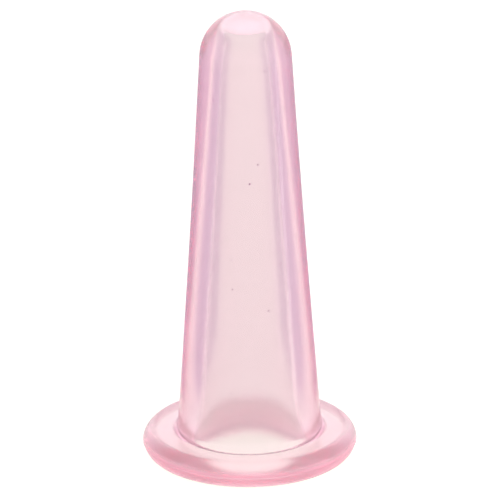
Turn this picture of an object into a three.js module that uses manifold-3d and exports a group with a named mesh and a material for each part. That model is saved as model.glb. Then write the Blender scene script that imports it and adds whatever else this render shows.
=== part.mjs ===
// A small silicone cupping cup for the face: a tapered, closed tube with a domed crown, a blind
// cavity that flares out at its mouth, and a round sealing flange.
//
// The cup stands on its flange at z = 0, centred on the Z axis. +Z runs from the mouth to the crown,
// and the two sides that are pinched between finger and thumb face -X and +X. Millimetres.
//
// Silicone bends all over when it is squeezed. Here the two pinched sides are wall sections of their
// own, which lean inwards about one line across the foot of the cup.

import * as THREE from "three";
import { mergeVertices } from "three/addons/utils/BufferGeometryUtils.js";
import Module from "manifold-3d";

// ---------- driving dimensions ----------

const HEIGHT = 65;

const FLANGE_RADIUS = 15;
const FLANGE_EDGE_BELOW = 1.85; // edge radius below the mould's parting line
const FLANGE_EDGE_ABOVE = 1.95; // edge radius above it
const FLANGE_THICKNESS = FLANGE_EDGE_BELOW + FLANGE_EDGE_ABOVE;

const DOME_RADIUS = 6.4;
const CROWN_TAPER = THREE.MathUtils.degToRad(3.3); // lean of the outer wall below the dome
const WALL_SPREAD = 0.00018; // how fast it leans out further towards the foot, per mm
const FOOT_FILLET = 1; // where the wall meets the flange

const CAVITY_TOP = 62.3;
const CAVITY_CORNER = 0.8; // round corner at the closed end of the cavity
const CAVITY_FOOT = 6.95; // cavity radius, its taper carried down to z = 0
const CAVITY_TAPER = THREE.MathUtils.degToRad(3.65);
const FLARE_TOP = 9; // below this the cavity opens out like a trumpet
const FLARE_RADIUS = 24;
const MOUTH_LIP = 1.8; // round lip where the cavity meets the sealing face

const SQUEEZE_BOTTOM = 10; // the pinched stretch of the wall
const SQUEEZE_TOP = 47;
const SQUEEZE_HALF_BOTTOM = 5.0; // half its width, low down and high up
const SQUEEZE_HALF_TOP = 2.8;
const SIDE_GAP = 0.3; // clearances round a wall section
const LOWER_GAP = 0.4;
const UPPER_GAP = 0.9; // more, because a section's outer edge rises as it leans in

const TURNS = 48; // facets round the axis
const ARC_STEPS = 3; // half the facets along each arc of the profile

const SILICONE = { color: 0xf4c4d0, roughness: 0.18, metalness: 0 };

// ---------- profile of the cup ----------

const DOWN = -Math.PI / 2;
const UP = Math.PI / 2;

// Where the outer wall ends and the dome takes over, as a tangent.
const WALL_TOP = HEIGHT - DOME_RADIUS + DOME_RADIUS * Math.sin(CROWN_TAPER);
const WALL_TOP_RADIUS = DOME_RADIUS * Math.cos(CROWN_TAPER);

// Outer radius of the tapered wall, which is very slightly hollow from crown to foot.
function outerRadius(z) {
  const depth = WALL_TOP - z;
  return WALL_TOP_RADIUS + depth * Math.tan(CROWN_TAPER) + depth * depth * WALL_SPREAD;
}

// Lean of the outer wall at a height.
function outerLean(z) {
  return Math.atan(Math.tan(CROWN_TAPER) + 2 * (WALL_TOP - z) * WALL_SPREAD);
}

// Radius of the tapered cavity.
function cavityRadius(z) {
  return CAVITY_FOOT - z * Math.tan(CAVITY_TAPER);
}

// Half section, radius across and height up: down the cavity and its flare, out along the sealing
// face, round the flange's edge, up the outside and over the dome back to the axis.
function cupProfile() {
  const cornerHeight = CAVITY_TOP - CAVITY_CORNER;
  const cornerRadius = cavityRadius(cornerHeight) - CAVITY_CORNER / Math.cos(CAVITY_TAPER);

  // The flare starts as a tangent of the cavity's wall and ends where the lip takes over.
  const flareRise = FLARE_RADIUS * Math.sin(CAVITY_TAPER);
  const flareSine = (FLARE_TOP - MOUTH_LIP + flareRise) / (FLARE_RADIUS - MOUTH_LIP);
  const flareEnd = Math.asin(flareSine);
  const flareCentre = cavityRadius(FLARE_TOP) + FLARE_RADIUS * Math.cos(CAVITY_TAPER);
  const lipCentre = flareCentre - (FLARE_RADIUS - MOUTH_LIP) * Math.cos(flareEnd);

  const filletHeight = FLANGE_THICKNESS + FOOT_FILLET;
  const footLean = outerLean(filletHeight);
  const filletRadius = outerRadius(filletHeight) + FOOT_FILLET / Math.cos(footLean);
  const wallFoot = filletHeight - FOOT_FILLET * Math.sin(footLean);
  const wallMiddle = (wallFoot + WALL_TOP) / 2;
  const bowRadius = WALL_TOP_RADIUS + (WALL_TOP - wallMiddle) * Math.tan(CROWN_TAPER);

  const profile = new THREE.Path();
  profile.moveTo(0, CAVITY_TOP);
  profile.lineTo(cornerRadius, CAVITY_TOP);
  profile.absarc(cornerRadius, cornerHeight, CAVITY_CORNER, UP, CAVITY_TAPER, true);
  profile.absarc(
    flareCentre,
    FLARE_TOP + flareRise,
    FLARE_RADIUS,
    Math.PI + CAVITY_TAPER,
    Math.PI + flareEnd,
    false,
  );
  profile.absarc(lipCentre, MOUTH_LIP, MOUTH_LIP, Math.PI + flareEnd, 1.5 * Math.PI, false);
  profile.absarc(
    FLANGE_RADIUS - FLANGE_EDGE_BELOW,
    FLANGE_EDGE_BELOW,
    FLANGE_EDGE_BELOW,
    DOWN,
    0,
    false,
  );
  profile.absarc(
    FLANGE_RADIUS - FLANGE_EDGE_ABOVE,
    FLANGE_THICKNESS - FLANGE_EDGE_ABOVE,
    FLANGE_EDGE_ABOVE,
    0,
    UP,
    false,
  );
  profile.absarc(
    filletRadius,
    filletHeight,
    FOOT_FILLET,
    1.5 * Math.PI,
    Math.PI + footLean,
    true,
  );
  profile.quadraticCurveTo(bowRadius, wallMiddle, WALL_TOP_RADIUS, WALL_TOP);
  profile.absarc(0, HEIGHT - DOME_RADIUS, DOME_RADIUS, CROWN_TAPER, UP, false);
  return profile.getPoints(ARC_STEPS);
}

// ---------- solids ----------

const wasm = await Module();
wasm.setup();

// A closed geometry as a manifold-3d solid.
function toSolid(geometry) {
  const bare = geometry.clone().deleteAttribute("normal").deleteAttribute("uv");
  const merged = mergeVertices(bare, 1e-4);
  return new wasm.Manifold(
    new wasm.Mesh({
      numProp: 3,
      vertProperties: new Float32Array(merged.attributes.position.array),
      triVerts: new Uint32Array(merged.index.array),
    }),
  );
}

// A manifold-3d solid back as a geometry with flat facets.
function toGeometry(solid) {
  const mesh = solid.getMesh();
  const geometry = new THREE.BufferGeometry();
  geometry.setAttribute("position", new THREE.BufferAttribute(mesh.vertProperties, 3));
  geometry.setIndex(new THREE.BufferAttribute(mesh.triVerts, 1));
  const facets = geometry.toNonIndexed();
  facets.computeVertexNormals();
  return facets;
}

function wholeCup() {
  const points = cupProfile();
  points[0].x = 0;
  points[points.length - 1].x = 0;
  return new THREE.LatheGeometry(points, TURNS).rotateX(Math.PI / 2);
}

// A wedge-sided block that covers the pinched stretch on one side of the axis: side is -1 for -X
// and 1 for +X. The clearances draw its sides and ends in.
function squeezeBlock(side, sideGap, lowerGap, upperGap) {
  const low = SQUEEZE_BOTTOM + lowerGap;
  const high = SQUEEZE_TOP - upperGap;
  const halfLow = SQUEEZE_HALF_BOTTOM - sideGap;
  const halfHigh = SQUEEZE_HALF_TOP - sideGap;
  const face = new THREE.Shape()
    .moveTo(-halfLow, low)
    .lineTo(halfLow, low)
    .lineTo(halfHigh, high)
    .lineTo(-halfHigh, high)
    .closePath();
  const block = new THREE.ExtrudeGeometry(face, { depth: FLANGE_RADIUS, bevelEnabled: false });
  // The face is drawn in Y and Z, and the block runs along X.
  const yAxis = new THREE.Vector3(0, 1, 0);
  const zAxis = new THREE.Vector3(0, 0, 1);
  const xAxis = new THREE.Vector3(1, 0, 0);
  block.applyMatrix4(new THREE.Matrix4().makeBasis(yAxis, zAxis, xAxis));
  if (side < 0) block.rotateZ(Math.PI);
  return block;
}

function squeezeWall(cup, side) {
  return cup.intersect(toSolid(squeezeBlock(side, SIDE_GAP, LOWER_GAP, UPPER_GAP)));
}

function shellWithWindows(cup) {
  return cup
    .subtract(toSolid(squeezeBlock(-1, 0, 0, 0)))
    .subtract(toSolid(squeezeBlock(1, 0, 0, 0)));
}

// ---------- the cup ----------

function namedMesh(name, solid) {
  const mesh = new THREE.Mesh(toGeometry(solid), new THREE.MeshStandardMaterial(SILICONE));
  mesh.name = name;
  return mesh;
}

const cup = toSolid(wholeCup());
const group = new THREE.Group();
group.add(
  namedMesh("cup_shell", shellWithWindows(cup)),
  namedMesh("left_squeeze_wall", squeezeWall(cup, -1)),
  namedMesh("right_squeeze_wall", squeezeWall(cup, 1)),
);

export default group;
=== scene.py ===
# %% [markdown]
# # A translucent silicone cupping cup
#
# The cup is one soft moulding: a tapered tube closed by a dome, with a blind cavity that flares
# into a round sealing flange. It is squeezed between finger and thumb, set on the skin and let
# go, and the silicone springs back and draws the skin in.
#
# Nearly everything that the eye sees in it is light that was bent and coloured by clear pink
# rubber. A painted pink surface could never look like it, so this lesson spends its effort on
# three things: an exact wall thickness everywhere, a true refractive index with a dye that works
# by depth, and a studio that is worth refracting.
#
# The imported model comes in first. Its boxes give the two sizes that everything else hangs on.

import math

import bmesh
import bpy
from mathutils import Matrix, Vector, noise


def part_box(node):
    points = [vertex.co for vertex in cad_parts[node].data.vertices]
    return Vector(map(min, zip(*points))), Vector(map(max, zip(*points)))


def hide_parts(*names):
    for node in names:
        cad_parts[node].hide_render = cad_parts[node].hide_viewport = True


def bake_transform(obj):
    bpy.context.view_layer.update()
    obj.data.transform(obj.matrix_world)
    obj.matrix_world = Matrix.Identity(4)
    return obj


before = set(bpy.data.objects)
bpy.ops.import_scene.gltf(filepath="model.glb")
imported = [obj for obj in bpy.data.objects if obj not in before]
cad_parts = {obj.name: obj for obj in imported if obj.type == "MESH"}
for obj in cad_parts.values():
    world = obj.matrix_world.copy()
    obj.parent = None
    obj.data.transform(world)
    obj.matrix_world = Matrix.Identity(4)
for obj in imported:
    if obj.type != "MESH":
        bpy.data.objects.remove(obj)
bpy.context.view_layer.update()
shell_high = Vector(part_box("cup_shell")[1])
HEIGHT = shell_high.z
FLANGE_RADIUS = shell_high.x
MM = 0.001
print("cup height", round(HEIGHT / MM, 2), "mm, flange radius", round(FLANGE_RADIUS / MM, 2), "mm")

# %% [markdown]
# ## Camera
#
# A small product is viewed from a distance through a long lens, so that its sides stay nearly parallel
# and the tube's taper isn't mistaken for perspective. The camera looks down by about 21 degrees,
# enough to open the flange into an ellipse and to show the mouth through the wall. It is rolled by
# two thirds of a degree, as a hand-set tripod is. It comes first because every later judgement is
# made through it.

# %% Camera
CAMERA_DISTANCE = 0.93
CAMERA_ELEVATION = math.radians(21.15)
CAMERA_ROLL = math.radians(-0.64)
CAMERA_AIM = Vector((0.32 * MM, 0, 30.1 * MM))
CAMERA_LENS = 482.0
SENSOR_WIDTH = 36


def place_camera():
    """A long lens that looks along +Y and a little downwards."""
    data = bpy.data.cameras.new("studio_camera")
    data.lens = CAMERA_LENS
    data.sensor_width = SENSOR_WIDTH
    data.clip_start = 0.01
    camera = bpy.data.objects.new("studio_camera", data)
    bpy.context.scene.collection.objects.link(camera)
    back = Vector((0, -math.cos(CAMERA_ELEVATION), math.sin(CAMERA_ELEVATION)))
    camera.location = CAMERA_AIM + back * CAMERA_DISTANCE
    facing = back.to_track_quat("Z", "Y").to_matrix()
    camera.rotation_euler = (facing @ Matrix.Rotation(CAMERA_ROLL, 3, "Z")).to_euler()
    bpy.context.scene.camera = camera
    return camera


camera = place_camera()
print("camera at", [round(c, 4) for c in camera.location])

# %% [markdown]
# ## Outline of the moulding
#
# A round part is fully described by half of its section, because its mould is turned on a lathe.
# The outline starts on the axis at the closed end of the cavity, runs down inside, opens out like
# a trumpet, rounds the lip, crosses the sealing face, rounds the flange's edge and climbs the
# outside back to the axis.
#
# Three details matter more than their size suggests:
#
# - The outer wall is very slightly hollow from crown to foot. A straight cone looks stiff.
# - The flare lets the whole mouth be seen through the wall. With a sharp mouth, total reflection
#   inside the wall would hide its left and right ends.
# - Real moulds leave a witness where their halves meet. The lower half here is a little narrower
#   than the upper one, so that the flange's edge has a tiny step, as on the real cup.

# %% Sizes of the section
FLANGE_EDGE_BELOW = 1.85 * MM
FLANGE_EDGE_ABOVE = 1.95 * MM
FLANGE_THICKNESS = FLANGE_EDGE_BELOW + FLANGE_EDGE_ABOVE
MOULD_MISMATCH = 0.14 * MM

DOME_RADIUS = 6.4 * MM
CROWN_TAPER = math.radians(3.3)
WALL_SPREAD = 0.18
FOOT_FILLET = 1.0 * MM

CAVITY_TOP = 62.3 * MM
CAVITY_CORNER = 0.8 * MM
CAVITY_FOOT = 6.95 * MM
CAVITY_TAPER = math.radians(3.65)
FLARE_TOP = 9 * MM
FLARE_RADIUS = 24 * MM
MOUTH_LIP = 1.8 * MM

WALL_TOP = HEIGHT - DOME_RADIUS + DOME_RADIUS * math.sin(CROWN_TAPER)
WALL_TOP_RADIUS = DOME_RADIUS * math.cos(CROWN_TAPER)


def outer_radius(z):
    """Radius of the outer wall, which spreads faster and faster towards the foot."""
    depth = WALL_TOP - z
    return WALL_TOP_RADIUS + depth * math.tan(CROWN_TAPER) + depth * depth * WALL_SPREAD


def outer_lean(z):
    """Lean of the outer wall at a height."""
    return math.atan(math.tan(CROWN_TAPER) + 2 * (WALL_TOP - z) * WALL_SPREAD)


def cavity_radius(z):
    """Radius of the tapered cavity above its flare."""
    return CAVITY_FOOT - z * math.tan(CAVITY_TAPER)


half_height = HEIGHT / 2
print("wall at half height", round((outer_radius(half_height) - cavity_radius(half_height)) / MM, 2), "mm")

# %% [markdown]
# ## Arcs and straights
#
# Every corner of the outline is an arc that runs into its neighbours as a tangent. A kink of even one
# degree would show, because a clear wall turns it into a hard line of light. The arcs are cut finely, and
# the long straights are cut too.

# %% Arcs and straights of the outline
ARC_STEP = math.radians(5)
STRAIGHT_STEP = 0.9 * MM
QUARTER = math.pi / 2


def arc(centre, radius, start, end):
    """Points along an arc, as (radius, height) pairs."""
    steps = max(3, round(abs(end - start) / ARC_STEP))
    angles = [start + (end - start) * i / steps for i in range(steps + 1)]
    return [(centre[0] + radius * math.cos(a), centre[1] + radius * math.sin(a)) for a in angles]


def divided(corners):
    """Adds points along the straights, so that the wall can wave."""
    points = [corners[0]]
    for (r0, z0), (r1, z1) in zip(corners, corners[1:]):
        steps = max(1, round(math.hypot(r1 - r0, z1 - z0) / STRAIGHT_STEP))
        points += [(r0 + (r1 - r0) * i / steps, z0 + (z1 - z0) * i / steps)
                   for i in range(1, steps + 1)]
    return points


def cavity_outline():
    """From the axis at the closed end, down the cavity and out round the lip."""
    corner_z = CAVITY_TOP - CAVITY_CORNER
    corner_r = cavity_radius(corner_z) - CAVITY_CORNER / math.cos(CAVITY_TAPER)
    flare_rise = FLARE_RADIUS * math.sin(CAVITY_TAPER)
    flare_sine = (FLARE_TOP - MOUTH_LIP + flare_rise) / (FLARE_RADIUS - MOUTH_LIP)
    flare_end = math.asin(flare_sine)
    flare_r = cavity_radius(FLARE_TOP) + FLARE_RADIUS * math.cos(CAVITY_TAPER)
    lip_r = flare_r - (FLARE_RADIUS - MOUTH_LIP) * math.cos(flare_end)
    flare_centre = (flare_r, FLARE_TOP + flare_rise)
    corners = [(0, CAVITY_TOP)]
    corners += arc((corner_r, corner_z), CAVITY_CORNER, QUARTER, CAVITY_TAPER)
    corners += arc(flare_centre, FLARE_RADIUS, math.pi + CAVITY_TAPER, math.pi + flare_end)
    corners += arc((lip_r, MOUTH_LIP), MOUTH_LIP, math.pi + flare_end, 3 * QUARTER)
    return corners


def outside_outline():
    """From the sealing face, round the flange's edge and up to the axis at the crown."""
    fillet_z = FLANGE_THICKNESS + FOOT_FILLET
    foot_lean = outer_lean(fillet_z)
    fillet_r = outer_radius(fillet_z) + FOOT_FILLET / math.cos(foot_lean)
    wall_foot = fillet_z - FOOT_FILLET * math.sin(foot_lean)
    lower_r = FLANGE_RADIUS - MOULD_MISMATCH - FLANGE_EDGE_BELOW
    upper_r = FLANGE_RADIUS - FLANGE_EDGE_ABOVE
    wall_steps = round((WALL_TOP - wall_foot) / STRAIGHT_STEP)
    heights = [wall_foot + (WALL_TOP - wall_foot) * i / wall_steps for i in range(1, wall_steps)]
    corners = arc((lower_r, FLANGE_EDGE_BELOW), FLANGE_EDGE_BELOW, -QUARTER, 0)
    corners += arc((upper_r, FLANGE_EDGE_BELOW), FLANGE_EDGE_ABOVE, 0, QUARTER)
    corners += arc((fillet_r, fillet_z), FOOT_FILLET, 3 * QUARTER, math.pi + foot_lean)
    corners += [(outer_radius(z), z) for z in heights]
    corners += arc((0, HEIGHT - DOME_RADIUS), DOME_RADIUS, CROWN_TAPER, QUARTER)
    corners[-1] = (0, HEIGHT)
    return corners


outline = divided(cavity_outline() + outside_outline())
print("outline points", len(outline))

# %% [markdown]
# ## Turning the outline into a closed skin
#
# The first and last points become single vertices on the axis, and every point between them
# becomes a ring. The skin is closed and its faces look outwards, which the dye needs: it is
# reckoned along the light's way from where it enters the rubber to where it leaves.
#
# Silicone shrinks unevenly as it cures, so each ring is nudged in and out by a few hundredths of a
# millimetre with smooth noise. That is far too little to be seen as a shape, but it makes the
# bright lines in the wall waver a little, as they do in the real thing. The sealing face stays
# flat.

# %% Turn the cup
TURNS = 144
WAVE_DEPTH = 0.02 * MM
WAVE_LENGTH = 9 * MM


def ring_point(radius, z, angle):
    """A point of a ring, nudged in or out by the uneven shrinkage."""
    place = Vector((radius * math.cos(angle), radius * math.sin(angle), z))
    if z <= 0:
        return place
    wave = noise.noise(place / WAVE_LENGTH) * WAVE_DEPTH
    stretch = 1 + wave / max(radius, MM)
    return Vector((place.x * stretch, place.y * stretch, z))


def turned(name, points, turns):
    """A closed skin from an outline that starts and ends on the axis."""
    mesh = bpy.data.meshes.new(name)
    shape = bmesh.new()
    first = shape.verts.new((0, 0, points[0][1]))
    last = shape.verts.new((0, 0, points[-1][1]))
    angles = [2 * math.pi * i / turns for i in range(turns)]
    rings = [[shape.verts.new(ring_point(radius, z, angle)) for angle in angles]
             for radius, z in points[1:-1]]
    for i in range(turns):
        j = (i + 1) % turns
        shape.faces.new((first, rings[0][i], rings[0][j]))
        for low, high in zip(rings, rings[1:]):
            shape.faces.new((low[i], high[i], high[j], low[j]))
        shape.faces.new((rings[-1][i], last, rings[-1][j]))
    bmesh.ops.recalc_face_normals(shape, faces=shape.faces)
    for face in shape.faces:
        face.smooth = True
    shape.to_mesh(mesh)
    shape.free()
    piece = bpy.data.objects.new(name, mesh)
    bpy.context.scene.collection.objects.link(piece)
    return piece


cup = turned("silicone_cup", outline, TURNS)
print("cup", len(cup.data.vertices), "vertices", len(cup.data.polygons), "faces")

# %% [markdown]
# ## A small language for shader sums
#
# A finish is a sum of places and patterns. Written as bare nodes, "frosted below 5 mm" takes ten
# lines. The class below wraps one output socket, so that `+`, `-` and `*` each lay down a Math
# node, with numbers allowed on either side. Every other node comes from one method that takes
# the node's kind, its settings and what goes into its sockets.

# %% Wires
class Wire:
    """One output socket of a shader tree, with arithmetic."""

    def __init__(self, tree, socket):
        self.tree = tree
        self.socket = socket

    def node(self, kind, settings, sockets, output=0):
        """Any node: settings are set first, because they decide which sockets there are."""
        made = self.tree.nodes.new("ShaderNode" + kind)
        for name, value in settings.items():
            setattr(made, name, value)
        for name, value in sockets.items():
            feed(self.tree, made.inputs[name], value)
        return Wire(self.tree, made.outputs[output])

    def math(self, operation, *values):
        return self.node("Math", {"operation": operation}, dict(enumerate(values)))

    def __add__(self, other):
        return self.math("ADD", self, other)

    def __radd__(self, other):
        return self.math("ADD", other, self)

    def __sub__(self, other):
        return self.math("SUBTRACT", self, other)

    def __rsub__(self, other):
        return self.math("SUBTRACT", other, self)

    def __mul__(self, other):
        return self.math("MULTIPLY", self, other)

    def __rmul__(self, other):
        return self.math("MULTIPLY", other, self)

    def __neg__(self):
        return self.math("MULTIPLY", self, -1)

    def __abs__(self):
        return self.math("ABSOLUTE", self)

    def root(self):
        return self.math("SQRT", self)

    def larger(self, other):
        return self.math("MAXIMUM", self, other)

    def part(self, letter):
        """X, Y or Z of a vector."""
        return self.node("SeparateXYZ", {}, {0: self}, letter)

    def rise(self, low, high, start=0.0, end=1.0):
        """A soft step from start to end while this value goes from low to high."""
        sockets = {"Value": self, "From Min": low, "From Max": high, "To Min": start, "To Max": end}
        return self.node("MapRange", {"interpolation_type": "SMOOTHSTEP"}, sockets)

    def tint(self, none, full):
        """A colour that goes from none to full as this value goes from 0 to 1."""
        return self.node("Mix", {"data_type": "RGBA"}, {0: self, 6: none, 7: full}, 2)


def feed(tree, socket, value):
    """Links a wire into a socket, or sets the socket to a plain value."""
    if isinstance(value, Wire):
        tree.links.new(value.socket, socket)
    elif isinstance(value, tuple) and len(value) == 3 and len(socket.default_value) == 4:
        socket.default_value = (*value, 1)
    else:
        socket.default_value = value


def material(name):
    """A new material, with its tree, its Principled shader and a wire of object coordinates."""
    made = bpy.data.materials.new(name)
    made.use_nodes = True
    tree = made.node_tree
    shader = tree.nodes["Principled BSDF"]
    place = Wire(tree, tree.nodes.new("ShaderNodeTexCoord").outputs["Object"])
    return made, tree, shader, place


def dress(tree, shader, inputs):
    for name, value in inputs.items():
        feed(tree, shader.inputs[name], value)


print("wires ready")

# %% [markdown]
# ## Where the silicone changes
#
# The moulding is one material, but it doesn't look the same all over. The tube is thin and its
# part of the mould is polished, so it is clear. The flange and the crown are thick and come from a
# matt part of the mould, so they are softer, and their outermost skin is milky. Five masks say
# where that happens. They are built from the place on the cup alone, with wide soft borders, since
# a hard border in a clear wall would look like a crack.

# %% Masks
MATT_LOW, MATT_HIGH = 4.0 * MM, 6.0 * MM
MATT_INNER, MATT_OUTER = 8.0 * MM, 10.0 * MM
RING_INNER, RING_OUTER = 10.4 * MM, 11.8 * MM
EDGE_LOW, EDGE_HIGH = 2.0 * MM, 3.2 * MM
EDGE_INNER, EDGE_OUTER = 13.0 * MM, 14.1 * MM
CROWN_LOW, CROWN_HIGH = 50 * MM, 63 * MM
CAP_LOW, CAP_HIGH = 56 * MM, 63 * MM


def silicone_places(place):
    """How much a point belongs to the flange, its outer ring, its edge, the crown and the cap."""
    height = place.part("Z")
    radius = (place.part("X") * place.part("X") + place.part("Y") * place.part("Y")).root()
    flange = (-height).rise(-MATT_HIGH, -MATT_LOW) * radius.rise(MATT_INNER, MATT_OUTER)
    edge = (-height).rise(-EDGE_HIGH, -EDGE_LOW) * radius.rise(EDGE_INNER, EDGE_OUTER)
    ring = (-height).rise(-MATT_HIGH, -MATT_LOW) * radius.rise(RING_INNER, RING_OUTER)
    crown = height.rise(CROWN_LOW, CROWN_HIGH)
    return flange, ring, edge, crown, height.rise(CAP_LOW, CAP_HIGH)


print("milky edge below", EDGE_HIGH / MM, "mm, milky crown above", CAP_LOW / MM, "mm")

# %% [markdown]
# ## Specks and orange peel
#
# Even a clean silicone part has a few specks of dust moulded in. They could be painted one by one,
# but a cell pattern does it by itself: its cells have one point each, and where the surface
# happens to cut through such a point, a small dot is seen. So the specks are few and scattered.
#
# The skin has a very faint orange peel as well, which breaks up the highlights and makes the
# gloss uneven.

# %% Specks and orange peel
SPECK_SPACING = 3.3 * MM
SPECK_RADIUS = 0.17 * MM
SPECK_CORE = SPECK_RADIUS * 0.6
PEEL_LENGTH = 1.6 * MM
PEEL_DEPTH = 0.04 * MM


def specks(place):
    """1 in the middle of a speck of dust and 0 away from it."""
    cells = {"Vector": place, "Scale": 1 / SPECK_SPACING}
    distance = place.node("TexVoronoi", {"feature": "F1"}, cells, "Distance") * SPECK_SPACING
    return distance.rise(SPECK_CORE, SPECK_RADIUS, 1.0, 0.0)


def orange_peel(place):
    return place.node("TexNoise", {}, {"Vector": place, "Scale": 1 / PEEL_LENGTH, "Detail": 2.0})


print("a speck in about every", round(SPECK_SPACING / MM, 1), "mm cube")

# %% [markdown]
# ## Pink silicone
#
# The real material is platinum-cured silicone with a trace of pink dye. It bends light by 1.41.
# The dye takes green and some blue from every millimetre, and no red, so the thin front wall is
# nearly clear, the long way through the tube's sides is rose, and the flange seen from its edge is
# the deepest pink of all. That is why the colour belongs in the volume and not on the surface.
#
# A tenth of the light is scattered instead of passed on, which keeps the rubber from looking like
# glass. On top of that, the milky skin of the edge and the crown is a second shader that scatters
# all its light. The two are mixed by the masks.
#
# The tube's tint is slightly grey, a painted shade that dims the clear middle of the tube, and the flange's
# is almost white, so that the flange is painted lighter than the tube. Like the strength of the dye and the
# milk, they were found by trial and aren't facts about silicone. The matt parts are kept only a little
# rougher than the tube, because a larger step shows as a hard line.

# %% Silicone
REFRACTION = 1.41
PASSED_ON = 0.9
DYE_COLOUR = (1, 0, 0.34, 1)
DYE_PER_METRE = 41

POLISHED = 0.2
MATT_FLANGE = 0.255
MATT_CROWN = 0.24
TUBE_PAINTED_SHADE = (0.88, 0.895, 0.88)
FLANGE_PAINTED_LIGHT = (1.0, 0.98, 1.0)
SPECK_COLOUR = (0.20, 0.08, 0.18)
GLOSS_CHANGE = 0.02
PEEL_STRENGTH = 0.3

MILK_FLANGE = 0.05
MILK_EDGE = 0.5
MILK_CROWN = 0.12
EDGE_PINK = (0.78, 0.37, 0.46)
PALE_PINK = (0.78, 0.71, 0.69)


def pink_silicone():
    made, tree, shader, place = material("pink_silicone")
    flange, ring, edge, crown, cap = silicone_places(place)
    speck, peel = specks(place), orange_peel(place)
    matt = (flange * (MATT_FLANGE - POLISHED)).larger(crown * (MATT_CROWN - POLISHED))
    roughness = POLISHED + matt + (peel - 0.5) * GLOSS_CHANGE
    bump = {"Strength": PEEL_STRENGTH, "Distance": PEEL_DEPTH, "Height": peel}
    bumped = place.node("Bump", {}, bump)
    # Base colour: a painted shade, greyer on the tube and almost white on the flange, with dark specks of
    # dust.
    dress(tree, shader, {
        "Transmission Weight": PASSED_ON,
        "IOR": REFRACTION,
        "Base Color": speck.tint(flange.tint(TUBE_PAINTED_SHADE, FLANGE_PAINTED_LIGHT), SPECK_COLOUR),
        "Roughness": roughness,
        "Normal": bumped,
    })
    milk = place.node("BsdfPrincipled", {}, {
        "IOR": REFRACTION,
        "Base Color": speck.tint(edge.tint(PALE_PINK, EDGE_PINK), SPECK_COLOUR),
        "Roughness": roughness,
        "Normal": bumped,
    })
    milkiness = (ring * MILK_FLANGE).larger(edge * MILK_EDGE).larger(cap * MILK_CROWN)
    clear = Wire(tree, shader.outputs["BSDF"])
    surface = place.node("MixShader", {}, {0: milkiness, 1: clear, 2: milk})
    volume = place.node("VolumeAbsorption", {}, {"Color": DYE_COLOUR, "Density": DYE_PER_METRE})
    output = tree.nodes["Material Output"]
    tree.links.new(surface.socket, output.inputs["Surface"])
    tree.links.new(volume.socket, output.inputs["Volume"])
    return made


cup.data.materials.append(pink_silicone())
print("silicone: refraction", REFRACTION, "dye per metre", DYE_PER_METRE)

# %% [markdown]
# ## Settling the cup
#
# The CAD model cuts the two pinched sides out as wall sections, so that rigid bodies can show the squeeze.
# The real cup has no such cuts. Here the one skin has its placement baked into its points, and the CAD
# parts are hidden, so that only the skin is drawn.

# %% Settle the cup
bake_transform(cup)
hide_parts("cup_shell", "left_squeeze_wall", "right_squeeze_wall")

# %% [markdown]
# ## Light table
#
# A clear object shows its surroundings, so it is shot on a bright ground with nothing dark near it. The
# ground is a sheet of pale paper on a light table: it glows by itself, so the cup throws no hard shadow.
# Under the mouth its glow is painted a touch warmer, a painted pool of the light that would have come
# through the silicone. The paper itself reflects very little, or the lamps would burn it out.
#
# The room is even and bright all round, a little brighter near the horizon. That light runs
# sideways through the flange as through a pipe and makes its edge glow.

# %% Floor and room
PAPER_ALBEDO = 0.1
PAINTED_WARM_GLOW_UNDER_CUP = (0.97, 0.98, 0.87)
GLOW_IN_VIEW = (1.06, 1.05, 1.0)
GLOW_AROUND = (1.05, 1.03, 1.0)
FLOOR_HALF = 2.0
FLOOR_DROP = 0.02 * MM
SIDE_START, SIDE_END = 36 * MM, 60 * MM
FRONT_START, FRONT_END = 20 * MM, 40 * MM
UNDER_CUP_START = FLANGE_RADIUS * 0.9
PAPER_ROUGHNESS = 0.9
HORIZON_LEVEL, ZENITH_LEVEL = 0.15, 0.75
ROOM_HORIZON = (1.75, 1.6, 1.72)
ROOM_ZENITH = (1.2, 1.1, 1.13)


def sheet(name, corners):
    """A flat four-cornered sheet for the studio."""
    mesh = bpy.data.meshes.new(name)
    mesh.from_pydata(corners, [], [(0, 1, 2, 3)])
    piece = bpy.data.objects.new(name, mesh)
    bpy.context.scene.collection.objects.link(piece)
    return piece


def light_table():
    made, tree, shader, place = material("glowing_paper")
    across, along = place.part("X"), place.part("Y")
    radius = (across * across + along * along).root()
    beyond_cup = radius.rise(UNDER_CUP_START, FLANGE_RADIUS)
    beside = abs(across).rise(SIDE_START, SIDE_END)
    before = (-along).rise(FRONT_START, FRONT_END)
    # The glow is painted warmer under the cup, standing in for light passed through the silicone.
    glow = beside.larger(before).tint(beyond_cup.tint(PAINTED_WARM_GLOW_UNDER_CUP, GLOW_IN_VIEW), GLOW_AROUND)
    dress(tree, shader, {
        "Base Color": (PAPER_ALBEDO, PAPER_ALBEDO, PAPER_ALBEDO),
        "Roughness": PAPER_ROUGHNESS,
        "Emission Color": glow,
        "Emission Strength": 1.0,
    })
    return made


def build_room():
    world = bpy.data.worlds.new("bright_room")
    world.use_nodes = True
    tree = world.node_tree
    direction = Wire(tree, tree.nodes.new("ShaderNodeTexCoord").outputs["Generated"])
    upwards = direction.part("Z").rise(HORIZON_LEVEL, ZENITH_LEVEL)
    feed(tree, tree.nodes["Background"].inputs["Color"], upwards.tint(ROOM_HORIZON, ROOM_ZENITH))
    bpy.context.scene.world = world
    bpy.context.scene.view_settings.view_transform = "Standard"


half = FLOOR_HALF
floor = sheet("floor", [(-half, -half, 0), (half, -half, 0), (half, half, 0), (-half, half, 0)])
floor.location.z = -FLOOR_DROP
floor.data.materials.append(light_table())
build_room()
print("floor half side", FLOOR_HALF, "m")

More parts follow.
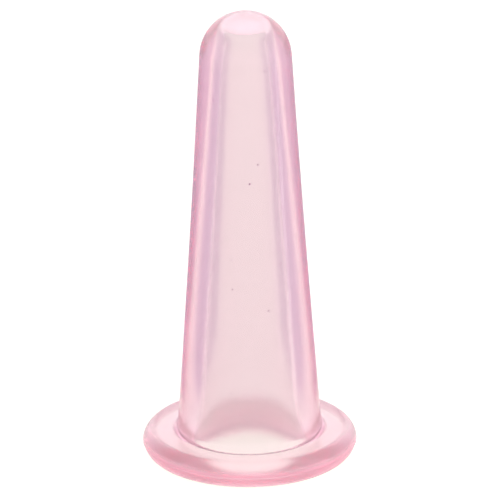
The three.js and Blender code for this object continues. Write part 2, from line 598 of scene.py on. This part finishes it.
# %% [markdown]
# ## Cards and lamps
#
# White on white has no edges. A studio draws them with cards: two narrow lilac ones stand close
# behind the cup, left and right, and are kept out of the picture. The cavity's sides throw
# their colour back by total reflection, as the two soft lilac bands that run down the tube.
#
# One broad lamp overhead softens the top of the flange and the crown, and one narrow strip close
# on the right draws a thin highlight down the tube.

# %% Cards and lamps
CARD_COLOUR = (0.80, 0.65, 0.84)
CARD_SIDE = 14.6 * MM
CARD_NEAR = 2 * MM
CARD_FAR = 29 * MM
CARD_LOW = 6 * MM
CARD_TOP = 62 * MM
OVERHEAD_PLACE, OVERHEAD_SIDE, OVERHEAD_RADIANCE = (0, 0.05, 0.5), 0.4, 1.2
STRIP_PLACE, STRIP_AIM = (42 * MM, -12 * MM, 32 * MM), (0, 0, 32 * MM)
STRIP_WIDTH, STRIP_HEIGHT, STRIP_RADIANCE = 4 * MM, 64 * MM, 3.5


def card_paint():
    made, tree, shader, _ = material("lilac_card")
    dress(tree, shader, {
        "Base Color": (0.0, 0.0, 0.0),
        "Specular IOR Level": 0.0,
        "Emission Color": CARD_COLOUR,
        "Emission Strength": 1.0,
    })
    return made


def stand_card(name, x, paint):
    card = sheet(name, [(x, CARD_NEAR, CARD_LOW), (x, CARD_FAR, CARD_LOW),
                        (x, CARD_FAR, CARD_TOP), (x, CARD_NEAR, CARD_TOP)])
    card.data.materials.append(paint)
    card.visible_camera = False


def softbox(name, place, aim, width, height, radiance):
    """An area lamp of a given radiance, which the camera doesn't see."""
    data = bpy.data.lights.new(name, "AREA")
    data.shape = "RECTANGLE"
    data.size = width
    data.size_y = height
    data.energy = radiance * math.pi * width * height
    lamp = bpy.data.objects.new(name, data)
    bpy.context.scene.collection.objects.link(lamp)
    lamp.location = place
    lamp.rotation_euler = (Vector(place) - Vector(aim)).to_track_quat("Z", "Y").to_euler()
    lamp.visible_camera = False


paint = card_paint()
stand_card("left_card", -CARD_SIDE, paint)
stand_card("right_card", CARD_SIDE, paint)
softbox("overhead", OVERHEAD_PLACE, (0, 0, 0), OVERHEAD_SIDE, OVERHEAD_SIDE, OVERHEAD_RADIANCE)
softbox("right_strip", STRIP_PLACE, STRIP_AIM, STRIP_WIDTH, STRIP_HEIGHT, STRIP_RADIANCE)
print("cards", round((CARD_FAR - CARD_NEAR) / MM), "mm deep,", round((CARD_TOP - CARD_LOW) / MM), "mm tall")

# %% [markdown]
# ## Long light paths
#
# Light that enters the flange is reflected many times before it finds a way out. If the renderer
# gave up early, the flange would turn grey, so the limits are far above their usual values.

# %% Light paths
THROUGH_BOUNCES = 48
SURFACE_BOUNCES = 24
VOLUME_BOUNCES = 4

paths = bpy.context.scene.cycles
paths.max_bounces = THROUGH_BOUNCES
paths.transmission_bounces = THROUGH_BOUNCES
paths.glossy_bounces = SURFACE_BOUNCES
paths.diffuse_bounces = SURFACE_BOUNCES
paths.volume_bounces = VOLUME_BOUNCES
print("bounces", paths.max_bounces)
